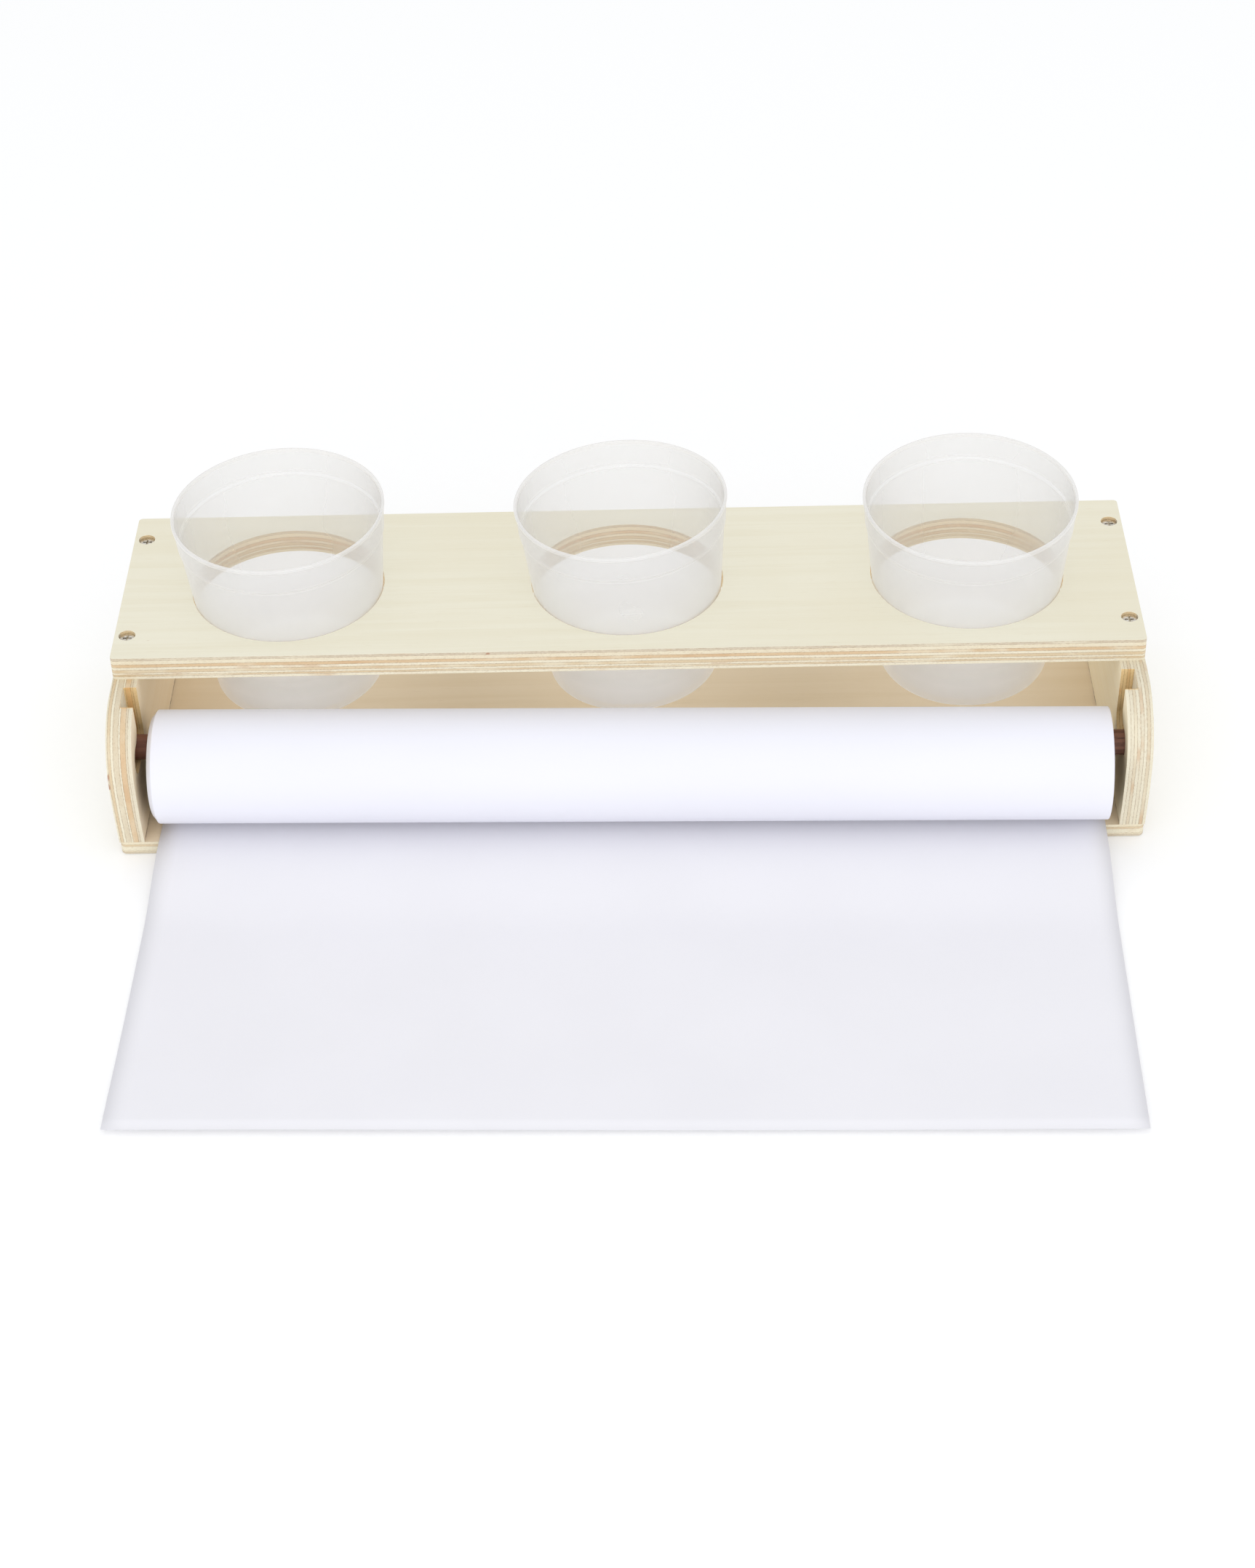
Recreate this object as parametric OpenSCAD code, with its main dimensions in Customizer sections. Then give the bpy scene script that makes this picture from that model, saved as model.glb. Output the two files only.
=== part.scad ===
// Tabletop paper-roll easel: a plywood stand that holds a drawing-paper roll
// on a loose dowel, with three paint cups wedged in round holes in its top.
// Millimetres. +X runs along the roll, -Y is the front, +Z is up. The origin
// is the centre of the bottom board's underside.

/* [Top board] */
// Length of the top board along the roll
board_l = 486; // [440:1:520]
// Depth of the top board from front to back
board_d = 117; // [112:1:120]
// Thickness of the top board
board_t = 12; // [10:0.5:13]
// Plan radius of the top board's corners
board_corner_r = 2; // [1:0.5:6]

/* [Side panels] */
// Thickness of each side panel
side_t = 12; // [11:0.5:13]
// Height of each side panel
side_h = 67; // [64:1:72]
// How far the panels' front edge stands out past the origin
nose_y = 102; // [101:0.5:105]
// Height of the widest point of the front edge above the table
nose_z = 44; // [40:1:46]
// Radius of the front edge above its widest point
nose_r = 30; // [29:1:31]
// Radius of the front edge below its widest point
heel_r = 187; // [160:1:240]

/* [Bottom board] */
// Thickness of the bottom board
base_t = 7; // [6:0.5:8]
// Plan radius of the bottom board's corners
base_corner_r = 3; // [1:0.5:6]

/* [Dowel slots] */
// Depth of each slot, cut into the panel's inner face
slot_depth = 6; // [5:0.5:7]
// Width of the channel that leads down from the slot's mouth
channel_w = 14; // [13.5:0.1:14]
// Height of the pocket that holds the dowel
pocket_h = 14; // [13.5:0.1:14.5]
// Height of the pocket's floor above the table
pocket_z = 41.2; // [41:0.1:41.4]
// Distance of the pocket's round front end from the origin
pocket_front = 86.4; // [86:0.1:87]
// Distance of the channel's lower end from the origin
channel_low_y = 70; // [69:0.1:71]
// Distance of the channel's mouth from the origin
mouth_y = 72.4; // [72:0.1:73]
// Radius of the shoulder between the pocket and the channel
shoulder_r = 7; // [5:0.5:8]

/* [Dowel and paper roll] */
// Diameter of the dowel
dowel_d = 12; // [11.8:0.1:12]
// Length of the dowel
dowel_l = 472; // [468:1:473]
// Distance of the dowel and the roll in front of the origin
roll_y = 81.5; // [81.3:0.1:81.7]
// Height of the dowel's axis above the table
dowel_z = 47.5; // [47.3:0.1:47.6]
// Height of the roll's axis above the table
roll_z = 35.3; // [35.2:0.1:35.4]
// Angle by which the dowel and the paper lie skewed in the stand
skew = 1.25; // [1.1:0.05:1.3]
// Width of the paper
paper_w = 450; // [440:1:451]
// Outer diameter of the paper roll
roll_d = 53.8; // [50:0.1:54]
// Inner diameter of the cardboard core
core_id = 37; // [37:0.1:38]
// Wall of the cardboard core
core_wall = 2; // [1.5:0.1:2.5]

/* [Loose sheet] */
// Reach of the loose sheet in front of the roll's axis
sheet_reach = 209; // [180:1:240]
// Thickness of the loose sheet's solid
sheet_t = 0.5; // [0.4:0.1:0.6]
// Where the sheet starts to sink to the table, in front of the roll's axis
droop_start = 28; // [28:1:34]
// Length over which the sheet sinks to the table
droop_l = 52; // [45:1:80]

/* [Cups] */
// Rim diameter of a cup
cup_rim_d = 101; // [100:0.5:102]
// Foot diameter of a cup
cup_foot_d = 81; // [78:0.5:82]
// Height of a cup
cup_h = 97; // [90:1:100]
// Wall of a cup
cup_wall = 1.2; // [1:0.1:1.6]
// Distance between the centres of neighbouring cups
cup_pitch = 163.5; // [150:0.5:165]
// Distance of the row of cups in front of the origin
cup_row_y = 1; // [0:0.5:2]
// Diameter of each cup's hole in the top board
cup_hole_d = 92.6; // [92.4:0.1:94]
// Height of a cup's foot above the table
cup_foot_z = 35; // [33:1:36]

/* [Screws] */
// Distance of each screw in front of and behind the origin
screw_y = 40; // [30:1:44]
// Diameter of the screws' shanks
shank_d = 4; // [3.5:0.1:4.5]
// Diameter of the screws' heads
head_d = 7.2; // [6.8:0.1:7.6]
// Diameter of the counterbored holes in the top board
counterbore_d = 8; // [7.8:0.1:9]
// Depth of the counterbored holes in the top board
counterbore_h = 1.5; // [1:0.5:4]

/* [Hidden] */

$fn = 96;
gap = 0.1;
back_y = board_d / 2;
half_l = board_l / 2;
inner_x = half_l - side_t;
side_top = base_t + side_h;
total_h = side_top + board_t;
screw_x = half_l - side_t / 2;
pocket_mid_z = pocket_z + pocket_h / 2;
core_r = core_id / 2 + core_wall;
heel_y = nose_y - heel_r + sqrt(heel_r * heel_r - pow(nose_z - base_t, 2));
channel_lean = atan((mouth_y - channel_low_y) / (side_top - pocket_mid_z));
// Each cup's place: [centre x, lean to the front, lean to the right, extra height]
CUPS = [[-cup_pitch, 1.6, -1.5, -0.6], [0, 0.1, -2.8, 0.7], [cup_pitch, 3.5, -0.6, -0.2]];
PLY = "#ead9b5";
STEEL = "#b9bbbd";
HARDWOOD = "#7a4632";
PAPER = "#f7f7fb";
CARDBOARD = "#b08a5e";
FROSTED = "#f1f1f0";

// Flat outline of a board with round corners, from its front to its back
module board_outline(front, back, corner_r) {
    depth = front + back;
    translate([0, (back - front) / 2]) {
        square([board_l - 2 * corner_r, depth], center = true);
        square([board_l, depth - 2 * corner_r], center = true);
        for (x = [-1, 1], y = [-1, 1])
            translate([x * (half_l - corner_r), y * (depth / 2 - corner_r)])
                circle(corner_r);
    }
}

// Side view of a panel, with X here as depth and Y as height
module panel_outline() {
    intersection() {
        translate([-nose_y, base_t])
            square([nose_y + back_y, side_h]);
        union() {
            translate([nose_r - nose_y, base_t])
                square([nose_y + back_y, side_h]);
            intersection() {
                translate([nose_r - nose_y, nose_z])
                    circle(nose_r);
                translate([-nose_y, nose_z])
                    square([nose_y, nose_r]);
            }
            intersection() {
                translate([heel_r - nose_y, nose_z])
                    circle(heel_r, $fn = 360);
                translate([-nose_y, base_t])
                    square([nose_y, nose_z - base_t]);
            }
        }
    }
}

// Side view of the slot: a channel from the mouth down to a pocket that hooks forward
module slot_outline() {
    pocket_r = pocket_h / 2;
    translate([-pocket_front, pocket_mid_z])
        circle(pocket_r);
    translate([-pocket_front, pocket_z])
        square([pocket_front - channel_low_y, pocket_h]);
    translate([-channel_low_y, pocket_mid_z])
        circle(channel_w / 2);
    translate([-channel_low_y, pocket_mid_z])
        rotate(channel_lean)
            translate([-channel_w / 2, 0])
                square([channel_w, side_h]);
    shoulder_outline(-channel_low_y - channel_w / 2 - 1, pocket_z + pocket_h);
}

// Rounds the wooden shoulder that stands between the channel and the pocket
module shoulder_outline(x, z) {
    translate([x, z])
        difference() {
            translate([-shoulder_r, -1])
                square([shoulder_r + 1, shoulder_r + 1]);
            translate([-shoulder_r, shoulder_r])
                circle(shoulder_r);
        }
}

// Turns a side-view outline into a slab between two places along X
module slab(x_low, x_high) {
    translate([x_low, 0, 0])
        rotate([90, 0, 90])
            linear_extrude(x_high - x_low)
                children();
}

// Turns children with the dowel and the roll, about the middle of the roll
module skewed() {
    translate([0, -roll_y, 0])
        rotate([0, 0, -skew])
            children();
}

// The four screw places, from left to right and front to back
module at_screws() {
    for (x = [-screw_x, screw_x], y = [-screw_y, screw_y])
        translate([x, y, 0])
            children();
}

// Phillips screw with its head's top at z = 0 and its point down
module screw(length) {
    head_h = 2.4;
    tip_h = 4;
    difference() {
        union() {
            translate([0, 0, -0.6])
                cylinder(d = head_d, h = 0.6);
            translate([0, 0, -head_h])
                cylinder(d1 = shank_d, d2 = head_d, h = head_h - 0.6);
            translate([0, 0, tip_h - length])
                cylinder(d = shank_d, h = length - tip_h - head_h);
            translate([0, 0, -length])
                cylinder(d1 = 0.8, d2 = shank_d, h = tip_h);
        }
        for (turn = [0, 90])
            rotate([0, 0, turn])
                translate([-head_d * 0.3, -0.5, -1.4])
                    cube([head_d * 0.6, 1, 2]);
    }
}

module top_board() {
    color(PLY)
        difference() {
            translate([0, 0, side_top])
                linear_extrude(board_t)
                    board_outline(back_y, back_y, board_corner_r);
            for (cup = CUPS)
                translate([cup[0], -cup_row_y, side_top - 1])
                    cylinder(d = cup_hole_d, h = board_t + 2, $fn = 180);
            at_screws() {
                translate([0, 0, side_top - 1])
                    cylinder(d = shank_d + 2 * gap, h = board_t);
                translate([0, 0, total_h - counterbore_h - 2.4])
                    cylinder(d = counterbore_d, h = counterbore_h + 3);
            }
        }
}

// One side panel, drawn on the left
module side_panel() {
    difference() {
        slab(-half_l, -inner_x)
            panel_outline();
        slab(-inner_x - slot_depth, -inner_x + 1)
            slot_outline();
        at_screws() {
            translate([0, 0, side_top - 24])
                cylinder(d = shank_d + 2 * gap, h = 25);
            translate([0, 0, base_t - 1])
                cylinder(d = shank_d + 2 * gap, h = 20);
        }
    }
}

module left_side() {
    color(PLY)
        side_panel();
}

module right_side() {
    color(PLY)
        mirror([1, 0, 0])
            side_panel();
}

module bottom_board() {
    color(PLY)
        difference() {
            linear_extrude(base_t)
                board_outline(heel_y, back_y, base_corner_r);
            at_screws() {
                translate([0, 0, -1])
                    cylinder(d = shank_d + 2 * gap, h = base_t + 2);
                translate([0, 0, -1])
                    cylinder(d = counterbore_d, h = 1 + 3);
            }
        }
}

module top_screws() {
    color(STEEL)
        at_screws()
            translate([0, 0, total_h - counterbore_h])
                screw(30);
}

module base_screws() {
    color(STEEL)
        at_screws()
            translate([0, 0, 0.6])
                rotate([180, 0, 0])
                    screw(22);
}

module dowel() {
    color(HARDWOOD)
        skewed()
            translate([0, 0, dowel_z])
                rotate([0, 90, 0])
                    cylinder(d = dowel_d, h = dowel_l, center = true);
}

// Tube along X, as long as the paper is wide, about the roll's axis
module roll_tube(outer_r, inner_r) {
    skewed()
        translate([0, 0, roll_z])
            rotate([0, 90, 0])
                difference() {
                    cylinder(r = outer_r, h = paper_w, center = true, $fn = 180);
                    cylinder(r = inner_r, h = paper_w + 2, center = true, $fn = 180);
                }
}

module paper_core() {
    color(CARDBOARD)
        roll_tube(core_r, core_id / 2);
}

module paper_roll() {
    color(PAPER)
        roll_tube(roll_d / 2, core_r);
}

// Height of the sheet's underside at a distance in front of the roll's axis
function sheet_z(reach) =
    let (shelf = base_t + 0.3, done = min(1, max(0, (reach - droop_start) / droop_l)))
    shelf * (1 + cos(180 * done)) / 2;

module paper_sheet() {
    steps = 12;
    reaches = concat([0], [for (i = [0 : steps]) droop_start + droop_l * i / steps], [sheet_reach]);
    under = [for (r = reaches) [-r, sheet_z(r)]];
    over = [for (i = [len(reaches) - 1 : -1 : 0]) [-reaches[i], sheet_z(reaches[i]) + sheet_t]];
    color(PAPER)
        skewed()
            slab(-paper_w / 2, paper_w / 2)
                polygon(concat(under, over));
}

// A tapered cup with a lid seat below its rim, standing on z = 0
module cup_body() {
    foot_r = cup_foot_d / 2;
    rim_r = cup_rim_d / 2;
    seat_z = cup_h - 14;
    seat_r = foot_r + (rim_r - foot_r) * seat_z / cup_h;
    seat_step = 0.5;
    rotate_extrude($fn = 180)
        polygon([
            [0, 1], [foot_r - 4, 1], [foot_r - 3, 0], [foot_r - 1, 0], [foot_r, 1],
            [seat_r - seat_step, seat_z], [seat_r, seat_z + 0.6],
            [rim_r - 0.4, cup_h - 1.6], [rim_r, cup_h - 1], [rim_r, cup_h],
            [rim_r - cup_wall - 0.4, cup_h], [seat_r - cup_wall, seat_z + 0.6],
            [seat_r - seat_step - cup_wall, seat_z], [foot_r - cup_wall, 3],
            [foot_r - cup_wall - 2, 2.2], [0, 2.2]
        ]);
}

// Sets a cup in its hole, leaning a little about the middle of the top board's face
module cup(place) {
    color(FROSTED)
        translate([place[0], -cup_row_y, total_h])
            rotate([place[1], place[2], 0])
                translate([0, 0, cup_foot_z - total_h + place[3]])
                    cup_body();
}

module cup_left() {
    cup(CUPS[0]);
}

module cup_middle() {
    cup(CUPS[1]);
}

module cup_right() {
    cup(CUPS[2]);
}

top_board();
left_side();
right_side();
bottom_board();
top_screws();
base_screws();
dowel();
paper_core();
paper_roll();
paper_sheet();
cup_left();
cup_middle();
cup_right();
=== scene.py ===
# Tabletop paper-roll easel: camera, light, and the detailed pieces and materials around the CAD frame.
import math

import bpy
from mathutils import Matrix, Vector


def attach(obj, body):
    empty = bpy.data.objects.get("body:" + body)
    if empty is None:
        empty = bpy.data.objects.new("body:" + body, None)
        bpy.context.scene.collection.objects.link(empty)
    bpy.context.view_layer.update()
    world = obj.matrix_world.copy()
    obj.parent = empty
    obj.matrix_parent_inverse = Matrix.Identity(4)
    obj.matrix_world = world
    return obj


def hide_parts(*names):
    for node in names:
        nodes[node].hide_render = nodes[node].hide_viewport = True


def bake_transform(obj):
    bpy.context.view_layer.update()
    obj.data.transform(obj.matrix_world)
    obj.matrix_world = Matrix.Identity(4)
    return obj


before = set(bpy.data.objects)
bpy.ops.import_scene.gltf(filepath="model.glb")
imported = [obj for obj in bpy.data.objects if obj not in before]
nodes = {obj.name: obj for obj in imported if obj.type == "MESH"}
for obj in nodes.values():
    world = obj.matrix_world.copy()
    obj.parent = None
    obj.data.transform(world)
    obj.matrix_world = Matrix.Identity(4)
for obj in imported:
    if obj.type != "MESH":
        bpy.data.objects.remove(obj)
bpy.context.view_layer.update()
MM = 0.001
TO_METRES = Matrix.Scale(MM, 4)

# ---------------------------------------------------------------- camera
EYE = (0.018128, -1.225810, 0.948825)
YAW, PITCH, ROLL = 0.016981, 0.679871, -0.028887
SENSOR_MM, FOCAL_MM = 36, 88.9

forward = Vector((-math.sin(YAW) * math.cos(PITCH), math.cos(YAW) * math.cos(PITCH), -math.sin(PITCH)))
level = Vector((math.cos(YAW), math.sin(YAW), 0))
upward = level.cross(forward)
right = math.cos(ROLL) * level + math.sin(ROLL) * upward
up = -math.sin(ROLL) * level + math.cos(ROLL) * upward
camera_data = bpy.data.cameras.new("camera")
camera_data.sensor_fit = "HORIZONTAL"
camera_data.sensor_width = SENSOR_MM
camera_data.lens = FOCAL_MM
camera_data.clip_end = 100
camera = bpy.data.objects.new("camera", camera_data)
bpy.context.scene.collection.objects.link(camera)
turn = Matrix((right, up, -forward)).transposed().to_4x4()
camera.matrix_world = Matrix.Translation(EYE) @ turn
bpy.context.scene.camera = camera
bpy.context.scene.view_settings.view_transform = "Standard"


# ---------------------------------------------------------------- node graphs
class Graph:
    """A material's node tree, built by short calls that return output sockets."""

    def __init__(self, name):
        self.material = bpy.data.materials.new(name)
        self.material.use_nodes = True
        self.tree = self.material.node_tree
        self.tree.nodes.clear()
        self.out = self.tree.nodes.new("ShaderNodeOutputMaterial")
        self.place = self.tree.nodes.new("ShaderNodeTexCoord").outputs["Object"]

    def put(self, socket, value):
        if isinstance(value, bpy.types.NodeSocket):
            self.tree.links.new(value, socket)
        elif value is not None:
            socket.default_value = value

    def math(self, operation, a, b=None):
        n = self.tree.nodes.new("ShaderNodeMath")
        n.operation = operation
        for socket, value in zip(n.inputs, (a, b)):
            self.put(socket, value)
        return n.outputs[0]

    def plus(self, a, b):
        return self.math("ADD", a, b)

    def minus(self, a, b):
        return self.math("SUBTRACT", a, b)

    def times(self, a, b):
        return self.math("MULTIPLY", a, b)

    def near(self, value, centre, reach):
        """1 where the value is less than reach from centre, else 0."""
        return self.math("LESS_THAN", self.math("ABSOLUTE", self.minus(value, centre)), reach)

    def vector(self, operation, a, b):
        n = self.tree.nodes.new("ShaderNodeVectorMath")
        n.operation = operation
        self.put(n.inputs[0], a)
        self.put(n.inputs[1], b)
        return n.outputs["Vector"]

    def stretch(self, where, factors):
        return self.vector("MULTIPLY", where, factors)

    def split(self, value):
        n = self.tree.nodes.new("ShaderNodeSeparateXYZ")
        self.put(n.inputs[0], value)
        return n.outputs[0], n.outputs[1], n.outputs[2]

    def join(self, x, y, z):
        n = self.tree.nodes.new("ShaderNodeCombineXYZ")
        for socket, value in zip(n.inputs, (x, y, z)):
            self.put(socket, value)
        return n.outputs[0]

    def attribute(self, name):
        n = self.tree.nodes.new("ShaderNodeAttribute")
        n.attribute_name = name
        return n.outputs["Fac"]

    def facing(self, axis):
        """How squarely the surface faces along an axis of the world, either way."""
        geometry = self.tree.nodes.new("ShaderNodeNewGeometry")
        return self.math("ABSOLUTE", self.split(geometry.outputs["True Normal"])[axis])

    def noise(self, where, scale, detail=3.0, rough=0.55, distort=0.0):
        n = self.tree.nodes.new("ShaderNodeTexNoise")
        self.put(n.inputs["Vector"], where)
        for name, value in (("Scale", scale), ("Detail", detail), ("Roughness", rough), ("Distortion", distort)):
            self.put(n.inputs[name], value)
        return n.outputs["Fac"]

    def span(self, value, low, high, to_low=0.0, to_high=1.0):
        """Carries low..high over to to_low..to_high with a smooth step."""
        n = self.tree.nodes.new("ShaderNodeMapRange")
        n.interpolation_type = "SMOOTHSTEP"
        for socket, v in zip(n.inputs, (value, low, high, to_low, to_high)):
            self.put(socket, v)
        return n.outputs[0]

    def ramp(self, value, stops, constant=False):
        n = self.tree.nodes.new("ShaderNodeValToRGB")
        n.color_ramp.interpolation = "CONSTANT" if constant else "LINEAR"
        marks = n.color_ramp.elements
        while len(marks) < len(stops):
            marks.new(0.5)
        for mark, (at, colour) in zip(marks, stops):
            mark.position = at
            mark.color = (*colour, 1)
        self.put(n.inputs[0], value)
        return n.outputs[0]

    def mix(self, amount, a, b, how="MIX"):
        n = self.tree.nodes.new("ShaderNodeMix")
        n.data_type = "RGBA"
        n.blend_type = how
        for socket, value in ((n.inputs[0], amount), (n.inputs[6], a), (n.inputs[7], b)):
            self.put(socket, (*value, 1) if isinstance(value, tuple) else value)
        return n.outputs[2]

    def bump(self, height, depth, strength=1.0):
        n = self.tree.nodes.new("ShaderNodeBump")
        self.put(n.inputs["Strength"], strength)
        self.put(n.inputs["Distance"], depth)
        self.put(n.inputs["Height"], height)
        return n.outputs[0]

    def surface(self, colour, roughness, normal=None, **more):
        n = self.tree.nodes.new("ShaderNodeBsdfPrincipled")
        self.put(n.inputs["Base Color"], (*colour, 1) if isinstance(colour, tuple) else colour)
        self.put(n.inputs["Roughness"], roughness)
        if normal is not None:
            self.put(n.inputs["Normal"], normal)
        for name, value in more.items():
            self.put(n.inputs[name.replace("_", " ")], value)
        self.tree.links.new(n.outputs[0], self.out.inputs["Surface"])
        return self.material


def clothe(obj, material):
    obj.data.materials.clear()
    obj.data.materials.append(material)


def scaled(colour, factors):
    return tuple(c * k for c, k in zip(colour, factors))


# ---------------------------------------------------------------- plywood
PALE = (0.84, 0.785, 0.62)
CREAM = (0.82, 0.745, 0.565)
TAN = (0.72, 0.585, 0.39)
RUST = (0.71, 0.525, 0.325)
GREY = (0.66, 0.58, 0.45)
DULL_PALE = (0.79, 0.74, 0.59)
DULL_CREAM = (0.76, 0.70, 0.55)
DULL_SAND = (0.72, 0.635, 0.475)
FACE = (0.815, 0.778, 0.635)
# the veneers inside the bay get warmer colours than the same veneer outside: the bay's warm bounce light and shade,
# painted into the colour
PAINTED_BAY_LIGHT_LEFT = (0.93, 0.785, 0.575)
PAINTED_BAY_LIGHT_RIGHT = (0.98, 0.88, 0.655)
PAINTED_BAY_LIGHT_BASE = (0.86, 0.725, 0.535)

# each layer as (where it starts in the thickness, from 0 to 1, colour)
TOP_PLIES = [(0.0, PALE), (0.125, TAN), (0.21, PALE), (0.30, TAN), (0.435, PALE)]
TOP_PLIES += [(0.56, RUST), (0.70, CREAM), (0.885, GREY), (0.975, PALE)]
BASE_PLIES = [(0.0, GREY), (0.16, CREAM), (0.27, PALE), (0.62, TAN), (0.80, CREAM)]
LEFT_PLIES = [(0.0, DULL_PALE), (0.06, TAN), (0.175, PALE), (0.28, DULL_SAND)]
LEFT_PLIES += [(0.49, PALE), (0.555, RUST), (0.77, DULL_SAND), (0.85, DULL_CREAM)]
RIGHT_PLIES = [(0.0, DULL_PALE), (0.12, DULL_CREAM), (0.25, DULL_SAND), (0.37, DULL_PALE)]
RIGHT_PLIES += [(0.50, DULL_CREAM), (0.63, DULL_PALE), (0.75, DULL_SAND), (0.88, DULL_PALE)]

SEAM = 0.02  # half a glue line's width, as a share of the thickness
WAVER = 0.045  # how far the layers wander, as the same share
CREASE_SHADE_HEIGHT = 0.0015  # height of the painted shade line in the crease under a side panel
HOLES_X, HOLES_Y = 0.2405, 0.056  # walls nearer the middle than this are the holes', not the outline's
DOWEL_Z = 0.0482
SLOT_Y, SLOT_LEAN, SLOT_HALF, SLOT_FLOOR = -0.070, 0.093, 0.0074, 0.0408  # the slot's leaning channel
POCKET_Y, POCKET_REACH = -0.078, 0.0158


def cut_edge(g, shifted, depth, across, plies):
    """The layers on a cut edge, with fibres, pores, stains, glue lines and small knots. Returns their colour, and the
    pattern that the bump follows."""
    # the layers waver a little along the edge, and their glue lines with them
    level_at = g.plus(depth, g.times(g.minus(g.noise(shifted, 30, 3, 0.5), 0.5), WAVER))
    tone = g.ramp(level_at, plies, constant=True)
    order = g.ramp(level_at, [(at, (k / len(plies),) * 3) for k, (at, _) in enumerate(plies)], constant=True)
    peaks = [(0.0, (0, 0, 0))]
    for at, _ in plies[1:]:
        peaks += [(at - SEAM, (0, 0, 0)), (at, (1, 1, 1)), (at + SEAM, (0, 0, 0))]
    seam = g.ramp(level_at, peaks)
    layer = g.times(order, 7.0)
    squeeze = [10.0, 10.0, 10.0]
    squeeze[across] = 420.0
    fibres = g.noise(g.vector("ADD", g.stretch(shifted, tuple(squeeze)), g.join(layer, 0.0, layer)), 6.0, 4, 0.65)
    short = [150.0, 150.0, 150.0]
    short[across] = 640.0
    pores = g.noise(g.vector("ADD", g.stretch(shifted, tuple(short)), g.join(0.0, layer, layer)), 5.0, 2, 0.6)
    grit = g.noise(shifted, 2600, 2, 0.6)
    stain_at = g.vector("ADD", shifted, g.join(layer, 0.0, g.times(layer, 0.3)))
    stains = g.noise(stain_at, 30, 3, 0.6)
    knots = g.noise(stain_at, 75, 1, 0.4)
    edge = g.mix(g.span(fibres, 0.40, 0.72, 0.0, 0.22), tone, (0.62, 0.45, 0.27))
    edge = g.mix(g.span(pores, 0.52, 0.70, 0.0, 0.34), edge, (0.46, 0.32, 0.17))
    edge = g.mix(g.span(grit, 0.55, 0.72, 0.0, 0.22), edge, (0.42, 0.29, 0.15))
    edge = g.mix(g.span(stains, 0.57, 0.72, 0.0, 0.50), edge, (0.60, 0.37, 0.20))
    edge = g.mix(g.span(stains, 0.34, 0.50, 0.62, 0.0), edge, (0.82, 0.755, 0.585))
    edge = g.mix(g.times(seam, g.span(pores, 0.36, 0.60, 0.22, 0.85)), edge, (0.34, 0.24, 0.15))
    edge = g.mix(g.span(knots, 0.785, 0.81, 0.0, 0.75), edge, (0.38, 0.16, 0.085))
    return edge, g.plus(fibres, pores)


def outer_veneer(g, shifted, depth, across, face, inner):
    """The outer veneer: pale, with faint long figure, fine rays and a few flecks. A surface cut level into the board
    has the inner colour instead. Returns the colour, the figure and the rays."""
    xyz = g.split(shifted)
    run, over = (xyz[0], xyz[1]) if across == 2 else (xyz[1], xyz[2])
    grain = g.noise(g.join(g.times(run, 6.0), g.times(over, 170.0), 0.0), 1.0, 4, 0.6, 0.6)
    rays = g.noise(g.join(g.times(run, 90.0), g.times(over, 1100.0), 0.0), 1.0, 2, 0.5)
    cloud = g.noise(shifted, 9, 3, 0.5)
    flecks = g.noise(g.join(g.times(run, 130.0), g.times(over, 420.0), 0.0), 1.0, 1, 0.5)
    light, streak, patch = scaled(face, (1.02,) * 3), scaled(face, (0.96, 0.94, 0.89)), scaled(face, (0.975, 0.95, 0.90))
    veneer = g.mix(g.span(grain, 0.35, 0.72, 0.0, 0.55), light, streak)
    veneer = g.mix(g.span(cloud, 0.42, 0.68, 0.0, 0.5), veneer, patch)
    veneer = g.mix(g.span(rays, 0.62, 0.80, 0.0, 0.20), veneer, (0.62, 0.50, 0.32))
    veneer = g.mix(g.span(flecks, 0.80, 0.84, 0.0, 0.5), veneer, (0.50, 0.34, 0.18))
    cut = g.mix(g.span(rays, 0.35, 0.75, 0.0, 0.35), inner, (0.62, 0.46, 0.28))
    return g.mix(g.near(depth, 0.5, 0.46), veneer, cut), grain, rays


def slot_walls(g, own, depth, slot):
    """1 round the dowel's slot, its leaning channel and its pocket, in the inner half of the panel's thickness."""
    half = g.math("GREATER_THAN", g.minus(1.0, g.math("ABSOLUTE", g.minus(depth, slot))), 0.49)
    lean = g.times(g.minus(own[2], DOWEL_Z), SLOT_LEAN)
    off = g.math("ABSOLUTE", g.plus(g.minus(own[1], SLOT_Y), lean))
    channel = g.times(g.math("LESS_THAN", off, SLOT_HALF), g.math("GREATER_THAN", own[2], SLOT_FLOOR))
    pocket = g.times(g.near(own[1], POCKET_Y, POCKET_REACH), g.near(own[2], DOWEL_Z, SLOT_HALF))
    return g.times(g.math("MAXIMUM", channel, pocket), half)


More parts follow.
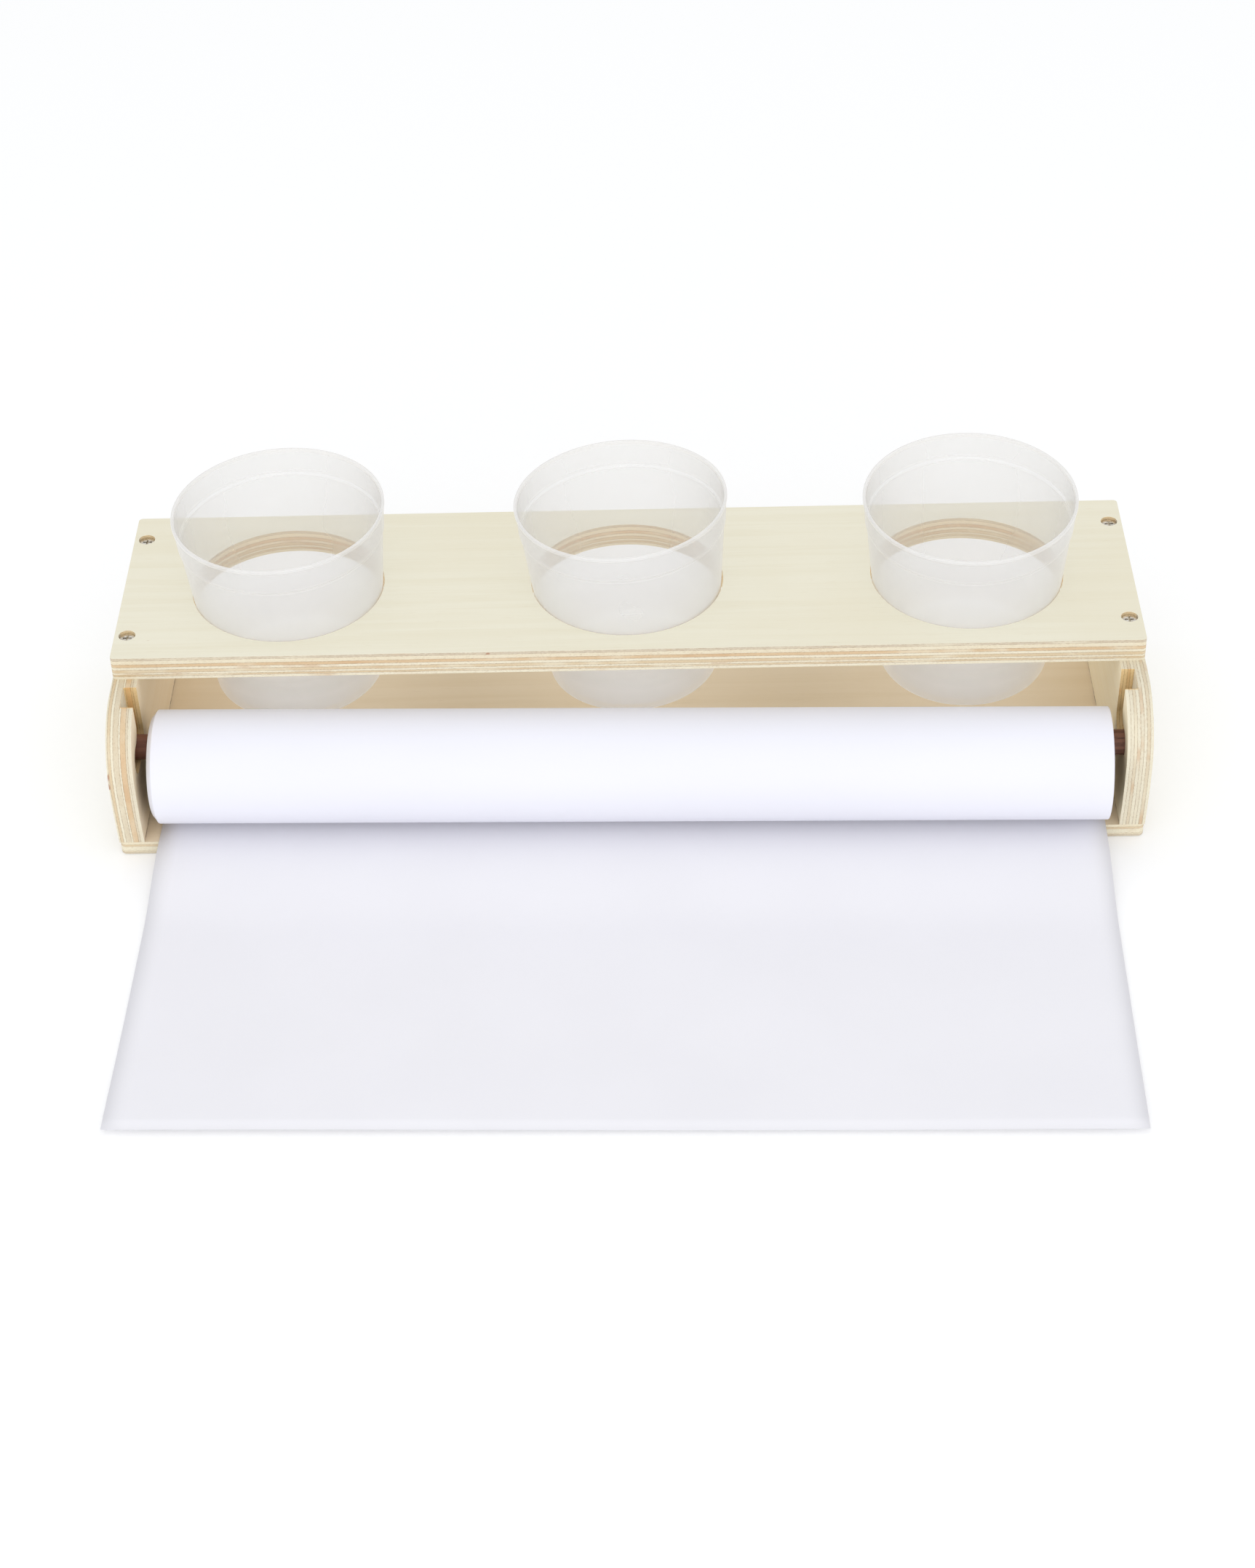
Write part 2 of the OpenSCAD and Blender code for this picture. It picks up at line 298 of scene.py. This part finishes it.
def plywood(name, across, low, thick, plies, face, inner, seed, foot=None, plain=None, slot=None, holes=False):
    """Clear matt birch plywood. across is the axis number of its thickness, which starts at low. face is its veneer's
    colour, which for the side panels and the bottom board has the bay's light and shade painted in, inner that of a
    level surface cut into it. foot is the height of a painted shade line along its foot, plain the end of its
    thickness (0 or 1) that has the usual FACE veneer instead, slot the end that the dowel's slot is cut into, whose
    walls get painted warm shade, and holes says that round holes go through it, whose walls get painted light."""
    g = Graph(name)
    own = g.split(g.place)
    shifted = g.vector("ADD", g.place, (seed, seed * 0.7, seed * 0.3))
    depth = g.math("DIVIDE", g.minus(own[across], low), thick)
    on_face = g.math("GREATER_THAN", g.facing(across), 0.6)
    off_face = g.minus(1.0, on_face)
    edge, edge_pattern = cut_edge(g, shifted, depth, across, plies)
    if holes:
        # a wall cut inside the board, away from its outline (the cup holes' walls), is painted brighter and warmer:
        # painted light
        painted_hole_light = g.times(g.near(own[1], 0.0, HOLES_Y), g.near(own[0], 0.0, HOLES_X))
        edge = g.mix(painted_hole_light, edge, (1.28, 1.18, 0.98), "MULTIPLY")
    veneer, grain, rays = outer_veneer(g, shifted, depth, across, face, inner)
    # the plain end gets the usual FACE veneer, the other face keeps its painted bay light and shade
    if plain is not None:
        veneer = g.mix(g.near(depth, plain, 0.3), veneer, tuple(b / a for a, b in zip(face, FACE)), "MULTIPLY")
    if foot is not None:
        # painted shade in the crease where the side panel meets the bottom board, broken up by noise
        crease_breakup = g.noise(shifted, 160, 3, 0.6)
        crease_shade = g.times(g.span(own[2], foot, foot + CREASE_SHADE_HEIGHT, 1.0, 0.0), g.span(crease_breakup, 0.35, 0.6, 0.35, 0.9))
        veneer = g.mix(crease_shade, veneer, (0.16, 0.09, 0.05))
    colour = g.mix(on_face, edge, veneer)
    if slot is not None:
        # its sawn walls are tinted darker and golden: painted warm shade inside the slot
        colour = g.mix(g.times(slot_walls(g, own, depth, slot), off_face), colour, (1.10, 0.90, 0.60), "MULTIPLY")
    height = g.plus(g.times(g.plus(grain, rays), g.times(on_face, 0.35)), g.times(edge_pattern, off_face))
    normal = g.bump(height, 0.00012, 0.45)
    return g.surface(colour, g.span(grain, 0.3, 0.7, 0.50, 0.62), normal, Specular_IOR_Level=0.35)


# ---------------------------------------------------------------- other materials
def frosted():
    """Thin frosted polypropylene. The milk in it covers more where the wall is seen at a slant. Most of the light it
    scatters goes on through, so the cup hardly dims what is behind it. Its emission is a painted glow that stands in
    for light carried inside the wall: it makes the foot, the lip and the matt outer skin shine a little."""
    g = Graph("frosted_cup")
    slant = g.tree.nodes.new("ShaderNodeLayerWeight")
    slant.inputs["Blend"].default_value = 0.5
    milk_and_glow, skin = g.attribute("milk_and_glow"), g.attribute("skin")
    ray = g.tree.nodes.new("ShaderNodeLightPath")
    clouds = g.noise(g.place, 26, 2, 0.5)
    clear = g.minus(g.span(clouds, 0.3, 0.7, 0.86, 0.845), g.plus(g.times(skin, 0.11), milk_and_glow))
    path = g.math("DIVIDE", 1.0, g.math("MAXIMUM", g.minus(1.0, slant.outputs["Facing"]), 0.14))
    covered = g.minus(1.0, g.math("POWER", clear, path))
    lighting = g.math("MAXIMUM", ray.outputs["Is Shadow Ray"], ray.outputs["Is Diffuse Ray"])
    alpha = g.times(covered, g.minus(1.0, g.times(lighting, 0.80)))
    # painted glow, strongest low down where the cup stands in the shade under the top board
    foot = g.span(g.split(g.place)[2], 0.045, 0.085, 0.14, 0.015)
    painted_glow = g.plus(foot, g.plus(g.times(skin, 0.07), g.times(milk_and_glow, 0.22)))
    return g.surface(
        (0.70, 0.69, 0.675),
        g.span(clouds, 0.3, 0.7, 0.30, 0.36),
        Alpha=alpha,
        IOR=1.45,
        Emission_Color=(1.0, 0.98, 0.94, 1),
        Emission_Strength=painted_glow,
    )


def paper(name, colour):
    g = Graph(name)
    fibre = g.noise(g.place, 1400, 3, 0.6)
    cloud = g.noise(g.place, 14, 3, 0.5)
    tint = g.mix(g.span(cloud, 0.3, 0.7), scaled(colour, (1.006,) * 3), scaled(colour, (0.988,) * 3))
    tint = g.mix(g.span(fibre, 0.4, 0.75, 0.0, 0.10), tint, scaled(colour, (0.93,) * 3))
    normal = g.bump(fibre, 0.00003, 0.35)
    return g.surface(tint, g.span(cloud, 0.3, 0.7, 0.52, 0.60), normal, Specular_IOR_Level=0.3)


def wound_paper():
    """The roll: smooth paper round it, and fine wound layers on its ends."""
    g = Graph("wound_paper")
    ends = g.math("GREATER_THAN", g.facing(0), 0.8)
    turns = g.noise(g.join(g.times(g.attribute("radius"), 3800.0), 0.0, 0.0), 1.0, 3, 0.7)
    fibre = g.noise(g.place, 1400, 3, 0.6)
    cloud = g.noise(g.stretch(g.place, (1, 3, 3)), 9, 3, 0.5)
    side = g.mix(g.span(cloud, 0.3, 0.7), (0.835, 0.835, 0.905), (0.82, 0.82, 0.885))
    face = g.mix(g.span(turns, 0.3, 0.7), (0.80, 0.80, 0.81), (0.60, 0.60, 0.61))
    height = g.plus(g.times(g.times(turns, ends), 5.0), g.times(fibre, 0.3))
    return g.surface(g.mix(ends, side, face), 0.55, g.bump(height, 0.00008, 0.5), Specular_IOR_Level=0.35)


def hardwood():
    g = Graph("dowel_hardwood")
    long = g.noise(g.stretch(g.place, (14, 420, 420)), 1.0, 4, 0.6, 0.3)
    pores = g.noise(g.stretch(g.place, (120, 1900, 1900)), 1.0, 2, 0.5)
    broad = g.noise(g.stretch(g.place, (5, 60, 60)), 1.0, 2, 0.5)
    colour = g.ramp(long, [(0.25, (0.085, 0.036, 0.022)), (0.5, (0.175, 0.072, 0.043)), (0.75, (0.27, 0.12, 0.07))])
    colour = g.mix(g.span(broad, 0.35, 0.65, 0.0, 0.5), colour, (0.21, 0.075, 0.045))
    colour = g.mix(g.span(pores, 0.62, 0.72, 0.0, 0.7), colour, (0.04, 0.016, 0.01))
    normal = g.bump(g.minus(long, g.span(pores, 0.6, 0.72)), 0.00015, 0.6)
    return g.surface(colour, g.span(long, 0.3, 0.7, 0.55, 0.42), normal, Specular_IOR_Level=0.35)


def cardboard(axis_y, axis_z):
    """Brown board, with the spiral seam of a tube wound round an axis along X."""
    g = Graph("core_cardboard")
    x, y, z = g.split(g.place)
    turned = g.math("ARCTAN2", g.minus(y, axis_y), g.minus(z, axis_z))
    spiral = g.math("FRACT", g.plus(g.times(x, 11.0), g.math("DIVIDE", turned, 2 * math.pi)))
    line = g.math("LESS_THAN", spiral, 0.015)
    fibre = g.noise(g.place, 420, 4, 0.7)
    colour = g.mix(g.span(fibre, 0.3, 0.7), (0.46, 0.34, 0.22), (0.36, 0.26, 0.165))
    colour = g.mix(g.times(line, 0.6), colour, (0.2, 0.13, 0.08))
    return g.surface(colour, 0.85, g.bump(fibre, 0.0001, 0.5), Specular_IOR_Level=0.2)


def steel():
    g = Graph("screw_steel")
    scratch = g.noise(g.stretch(g.place, (900, 900, 200)), 1.0, 3, 0.6)
    stain = g.noise(g.place, 700, 3, 0.6)
    colour = g.mix(g.span(stain, 0.35, 0.7), (0.86, 0.83, 0.77), (0.50, 0.45, 0.37))
    return g.surface(colour, g.span(scratch, 0.3, 0.7, 0.18, 0.36), g.bump(scratch, 0.00004, 0.5), Metallic=1.0)


# ---------------------------------------------------------------- the CAD's own pieces
ROLL_Y, ROLL_Z = -81.5, 35.3  # the roll's axis, in mm
SIDE_FOOT = 0.0072

# the inner faces of the sides and the bottom board carry painted bay light and shade, and the sides a painted shade
# line along their foot
side_left = plywood("ply_left", 0, -0.243, 0.012, LEFT_PLIES, PAINTED_BAY_LIGHT_LEFT, PALE, 0.42, SIDE_FOOT, plain=0.0, slot=1.0)
side_right = plywood("ply_right", 0, 0.231, 0.012, RIGHT_PLIES, PAINTED_BAY_LIGHT_RIGHT, PALE, 0.29, SIDE_FOOT, plain=1.0, slot=0.0)
clothe(nodes["top_board"], plywood("ply_top", 2, 0.074, 0.012, TOP_PLIES, FACE, CREAM, 0.13, holes=True))
clothe(nodes["bottom_board"], plywood("ply_bottom", 2, 0.0, 0.007, BASE_PLIES, PAINTED_BAY_LIGHT_BASE, CREAM, 0.71, plain=0.0))
clothe(nodes["left_side"], side_left)
clothe(nodes["right_side"], side_right)
clothe(nodes["dowel"], hardwood())
clothe(nodes["paper_core"], cardboard(ROLL_Y * MM, ROLL_Z * MM))
metal = steel()
for name in ("top_screws", "base_screws"):
    clothe(nodes[name], metal)

# the boards' edges are eased, the screws' a little less, by a width in mm
EASED = {"top_board": 0.3, "bottom_board": 0.5, "left_side": 1.0, "right_side": 1.0}
EASED.update(top_screws=0.2, base_screws=0.2)
for name, width in EASED.items():
    bevel = nodes[name].modifiers.new("ease", "BEVEL")
    bevel.width = width * MM
    bevel.segments = 3
    bevel.limit_method = "ANGLE"
    bevel.angle_limit = math.radians(40)
    bevel.harden_normals = True


# ---------------------------------------------------------------- mesh helpers
def mesh_object(name, points, faces, material):
    mesh = bpy.data.meshes.new(name)
    mesh.from_pydata(points, [], faces)
    mesh.validate()
    mesh.update()
    for polygon in mesh.polygons:
        polygon.use_smooth = True
    obj = bpy.data.objects.new(name, mesh)
    bpy.context.scene.collection.objects.link(obj)
    clothe(obj, material)
    return obj


def lathe(name, profile, steps, place, material, closed=True):
    """Turns a profile of (radius, height) round Z, then moves it by the matrix place. Radius 0 makes a pole."""
    points, rows, faces = [], [], []
    for radius, height in profile:
        if radius < 1e-9:
            rows.append([len(points)] * steps)
            points.append(place @ Vector((0, 0, height)))
        else:
            rows.append(list(range(len(points), len(points) + steps)))
            for i in range(steps):
                a = 2 * math.pi * i / steps
                points.append(place @ Vector((radius * math.cos(a), radius * math.sin(a), height)))
    pairs = list(zip(rows, rows[1:]))
    if closed:
        pairs.append((rows[-1], rows[0]))
    for low, high in pairs:
        for i in range(steps):
            j = (i + 1) % steps
            ring = [low[i], low[j], high[j], high[i]]
            face = [v for k, v in enumerate(ring) if v not in ring[:k]]
            if len(face) > 2:
                faces.append(face)
    return mesh_object(name, points, faces, material)


def rounded(corners, cuts=5):
    """Rounds the corners of an open profile of (radius, height, corner radius)."""
    out = [corners[0][:2]]
    for before, at, after in zip(corners, corners[1:], corners[2:]):
        p, a, b = Vector(at[:2]), Vector(before[:2]), Vector(after[:2])
        da, db = (a - p), (b - p)
        reach = min(at[2], da.length * 0.45, db.length * 0.45)
        if reach < 1e-4:
            out.append(tuple(p))
            continue
        start, end = p + da.normalized() * reach, p + db.normalized() * reach
        for i in range(cuts + 1):
            t = i / cuts
            q = start * (1 - t) ** 2 + p * 2 * t * (1 - t) + end * t**2
            out.append(tuple(q))
    out.append(corners[-1][:2])
    return out


def smooth_step(t):
    t = min(1.0, max(0.0, t))
    return t * t * (3 - 2 * t)


# ---------------------------------------------------------------- cups, in mm
CUP_H, RIM_R, FOOT_R, WALL = 97.0, 50.7, 41.0, 1.0
SEAT_Z = CUP_H - 14
SEAT_R = FOOT_R + (RIM_R - FOOT_R) * SEAT_Z / CUP_H
LIP_H = 1.8
BOARD_TOP, CUP_FOOT_Z, CUP_ROW_Y = 86, 35, -1
cup_profile = rounded(
    [
        # under the foot, and up the outside
        (0, 0.9, 0),
        (5.6, 0.9, 0.2),
        (6.0, 1.1, 0.2),
        (35.5, 1.1, 0.6),
        (36.5, 0.1, 0.5),
        (38.6, 0.0, 0.8),
        (FOOT_R, 1.6, 1.2),
        (FOOT_R + 1.2, 14, 0),
        (FOOT_R + 2.4, 26, 0),
        (SEAT_R - 0.75, SEAT_Z - 1.6, 0),
        (SEAT_R - 0.6, SEAT_Z - 0.2, 0.4),
        (SEAT_R + 0.1, SEAT_Z + 0.5, 0.4),
        (SEAT_R + 0.2, SEAT_Z + 2.0, 0),
        (RIM_R - 0.55, CUP_H - 2.6, 0.3),
        (RIM_R, CUP_H - 1.5, 0.4),
        (RIM_R + 0.05, CUP_H, 0.6),
        # over the lip, and down the inside
        (RIM_R - WALL - 0.35, CUP_H, 0.6),
        (RIM_R - WALL - 0.45, CUP_H - 1.6, 0.4),
        (RIM_R - WALL - 0.5, CUP_H - 2.6, 0),
        (SEAT_R - WALL + 0.2, SEAT_Z + 2.0, 0),
        (SEAT_R - WALL + 0.1, SEAT_Z + 0.9, 0.4),
        (SEAT_R - 0.6 - WALL, SEAT_Z + 0.1, 0.4),
        (SEAT_R - 0.75 - WALL, SEAT_Z - 1.6, 0),
        (FOOT_R + 2.4 - WALL, 26, 0),
        (FOOT_R + 1.2 - WALL, 14, 0),
        (FOOT_R - WALL - 0.2, 5.0, 3.0),
        (FOOT_R - WALL - 2.6, 2.1, 1.5),
        (0, 2.1, 0),
    ]
)


def milk_and_glow_at(h):
    """How much milkier than the rest of the wall the cup is at its lip, at its seat and near its foot. The same amount
    also adds painted glow there.
    """
    if h > CUP_H - LIP_H:
        return 0.19
    if abs(h - SEAT_Z - 0.3) < 1.2:
        return 0.06
    return 0.12 if h < 20.0 else 0.0


def skin_at(r, h):
    """1 on the cup's outer skin, else 0."""
    inward = 0.9 + 0.6 * (h > CUP_H - LIP_H)
    return 1.0 if r > FOOT_R + (RIM_R - FOOT_R) * h / CUP_H - inward else 0.0


milky = frosted()
# each cup stands a little crooked: its name, its place, how it leans forward and sideways in degrees, and its lift
for name, x, front, side, lift in (
    ("cup_left", -163.5, 1.6, -1.5, -0.6),
    ("cup_middle", 0.0, 0.1, -2.8, 0.7),
    ("cup_right", 163.5, 3.5, -0.6, -0.2),
):
    lean = Matrix.Rotation(math.radians(side), 4, "Y") @ Matrix.Rotation(math.radians(front), 4, "X")
    hole = Matrix.Translation((x, CUP_ROW_Y, BOARD_TOP))
    place = TO_METRES @ hole @ lean @ Matrix.Translation((0, 0, CUP_FOOT_Z - BOARD_TOP + lift))
    cup = lathe(name + "_shell", cup_profile, 160, place, milky, closed=False)
    milk_and_glow = cup.data.attributes.new("milk_and_glow", "FLOAT", "POINT")
    skin = cup.data.attributes.new("skin", "FLOAT", "POINT")
    back = place.inverted()
    for i, vertex in enumerate(cup.data.vertices):
        p = back @ vertex.co
        milk_and_glow.data[i].value = milk_and_glow_at(p.z)
        skin.data[i].value = skin_at(math.hypot(p.x, p.y), p.z)
    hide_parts(name)
    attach(cup, name)

# ---------------------------------------------------------------- roll, in mm
SKEW, DROOP = math.radians(-1.25), math.radians(0.05)  # how it lies in the stand
ROLL_R, CORE_R, PAPER_W = 26.9, 20.5, 450.0
LOOSE_R, TIGHT_R = 27.1, 26.65  # its left end is wound a little looser than its right
END_RINGS, SLIP_FROM, SLIP = 12, 5, 2.3  # the left end's outer wraps have slid inward

skewed = Matrix.Translation((0, ROLL_Y, 0)) @ Matrix.Rotation(SKEW, 4, "Z")
about_x = Matrix.Rotation(math.radians(90), 4, "Y")
roll_place = TO_METRES @ skewed @ Matrix.Translation((0, 0, ROLL_Z)) @ Matrix.Rotation(DROOP, 4, "Y") @ about_x
half = PAPER_W / 2
left_end, right_end = [], []
for i in range(END_RINGS + 1):
    r = CORE_R + (TIGHT_R - 0.2 - CORE_R) * i / END_RINGS
    wobble = 0.22 * math.sin(2.3 * i) + 0.12 * math.sin(5.1 * i + 1)
    slip = SLIP * max(0.0, (i - SLIP_FROM) / (END_RINGS - SLIP_FROM)) ** 1.6
    left_end.append((r, -half - 0.4 + wobble + slip))
    right_end.append((r, half - 0.1 - 0.8 * wobble))
barrel = [(LOOSE_R - 0.05, -half + 2.0), (LOOSE_R, -half + 2.4), (ROLL_R, 0)]
barrel += [(TIGHT_R, half - 0.5), (TIGHT_R - 0.05, half - 0.1)]
roll = lathe("paper_roll_wound", left_end + barrel + right_end[::-1], 144, roll_place, wound_paper())
radius = roll.data.attributes.new("radius", "FLOAT", "POINT")
back = roll_place.inverted()
for i, vertex in enumerate(roll.data.vertices):
    p = back @ vertex.co
    radius.data[i].value = math.hypot(p.x, p.y) * MM
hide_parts("paper_roll")
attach(roll, "roll")

# ---------------------------------------------------------------- loose sheet, in mm
SHEET_T, COLUMNS = 0.16, 46
REACH, SIDE_LOW, SIDE_HIGH = 208.5, -223.8, 224.8  # from the roll's axis to its end, and its two long edges
LIFT_FROM, LIFT_TO = 28.0, 80.0  # where it comes down from the bottom board to the table
SHELF_Z, LOW_Z = 7.35, 1.6
WRAP_R, WRAP_DEGREES, WRAP_STEPS = ROLL_R + 0.3, 40, 8  # the part that still lies against the roll
BOTTOM_Z = ROLL_Z - ROLL_R - 0.3


def sheet_height(v):
    """From the roll's underside on to the bottom board, over its front edge and down to lie lightly on the table."""
    if v < 12:
        return BOTTOM_Z + (SHELF_Z - BOTTOM_Z) * smooth_step(v / 12)
    if v < LIFT_FROM:
        return SHELF_Z
    down = (1 + math.cos(math.pi * min(1.0, (v - LIFT_FROM) / (LIFT_TO - LIFT_FROM)))) / 2
    return LOW_Z + (SHELF_Z - LOW_Z) * down + 0.9 * smooth_step((v - 150) / 60)


def ripple(u, v):
    """The loose paper's slight waves where it lies free on the table."""
    grow = smooth_step((v - 60) / 90)
    return grow * (0.35 * math.sin(u / 74 + v / 58) + 0.25 * math.sin(u / 131 - v / 83 + 1.3))


path = []
for i in range(WRAP_STEPS + 1):
    a = math.radians(WRAP_DEGREES * (1 - i / WRAP_STEPS))
    path.append((-WRAP_R * math.sin(a), ROLL_Z - WRAP_R * math.cos(a)))
reaches = [2, 4, 6, 8, 10, 12, 16, 20, 24]
reaches += [LIFT_FROM + (LIFT_TO - LIFT_FROM) * i / 16 for i in range(17)]
reaches += [LIFT_TO + (REACH - LIFT_TO) * i / 18 for i in range(1, 19)]
path += [(v, sheet_height(v)) for v in reaches]

points, faces = [], []
for layer in (0, 1):
    for n, (v, z) in enumerate(path):
        before, after = path[max(0, n - 1)], path[min(len(path) - 1, n + 1)]
        slope = Vector((after[0] - before[0], after[1] - before[1])).normalized()
        out = Vector((-slope.y, slope.x)) * (SHEET_T * layer)
        for c in range(COLUMNS + 1):
            u = SIDE_LOW + (SIDE_HIGH - SIDE_LOW) * c / COLUMNS
            points.append(TO_METRES @ skewed @ Vector((u, -(v + out.x), z + out.y + ripple(u, v))))
rows, wide = len(path), COLUMNS + 1
other = rows * wide  # from a point to the same point on the sheet's other face


def rim_face(a, step, flip):
    """Closes the sheet's thickness between a point on its rim and the next one."""
    ring = [a, a + step, a + step + other, a + other]
    faces.append(ring[::-1] if flip else ring)


for n in range(rows - 1):
    for c in range(COLUMNS):
        a = n * wide + c
        b = a + other
        faces.append([a, a + 1, a + wide + 1, a + wide])
        faces.append([b, b + wide, b + wide + 1, b + 1])
for n in range(rows - 1):
    rim_face(n * wide, wide, False)
    rim_face(n * wide + COLUMNS, wide, True)
for c in range(COLUMNS):
    rim_face(c, 1, True)
    rim_face((rows - 1) * wide + c, 1, False)
loose = mesh_object("paper_sheet_loose", points, faces, paper("sheet_paper", (0.84, 0.832, 0.872)))
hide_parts("paper_sheet")
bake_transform(loose)

# ---------------------------------------------------------------- floor and light
FLOOR_REACH, FLOOR_DROP = 6, 0.0004  # the drop keeps it clear of the stand's underside

corners = [(-1, -1), (1, -1), (1, 1), (-1, 1)]
floor_mesh = bpy.data.meshes.new("floor")
floor_mesh.from_pydata([(x * FLOOR_REACH, y * FLOOR_REACH, 0) for x, y in corners], [], [(0, 1, 2, 3)])
floor = bpy.data.objects.new("floor", floor_mesh)
bpy.context.scene.collection.objects.link(floor)
floor.location.z = -FLOOR_DROP
g = Graph("pale_floor")
pale = g.surface((0.87, 0.87, 0.87), 0.9, Specular_IOR_Level=0.0, Emission_Color=(1, 1, 1, 1), Emission_Strength=0.15)
clothe(floor, pale)

world = bpy.data.worlds.new("world")
bpy.context.scene.world = world
world.use_nodes = True
sky = world.node_tree.nodes["Background"].inputs
sky["Color"].default_value = (0.98, 0.99, 1.0, 1)
sky["Strength"].default_value = 0.88


def area(name, place, aim, size, power):
    data = bpy.data.lights.new(name, "AREA")
    data.shape = "RECTANGLE"
    data.size, data.size_y = size
    data.energy = power
    lamp = bpy.data.objects.new(name, data)
    bpy.context.scene.collection.objects.link(lamp)
    lamp.location = place
    lamp.rotation_euler = (Vector(aim) - Vector(place)).to_track_quat("-Z", "Y").to_euler()


area("key", (0.0, -0.8, 2.3), (0, 0, 0), (2.6, 2.2), 8)
area("front", (0.1, -2.3, 1.45), (0, -0.05, 0.05), (3.2, 1.4), 6)
area("fill", (0, -2.6, 0.38), (0, -0.05, 0.05), (3.4, 0.7), 11)
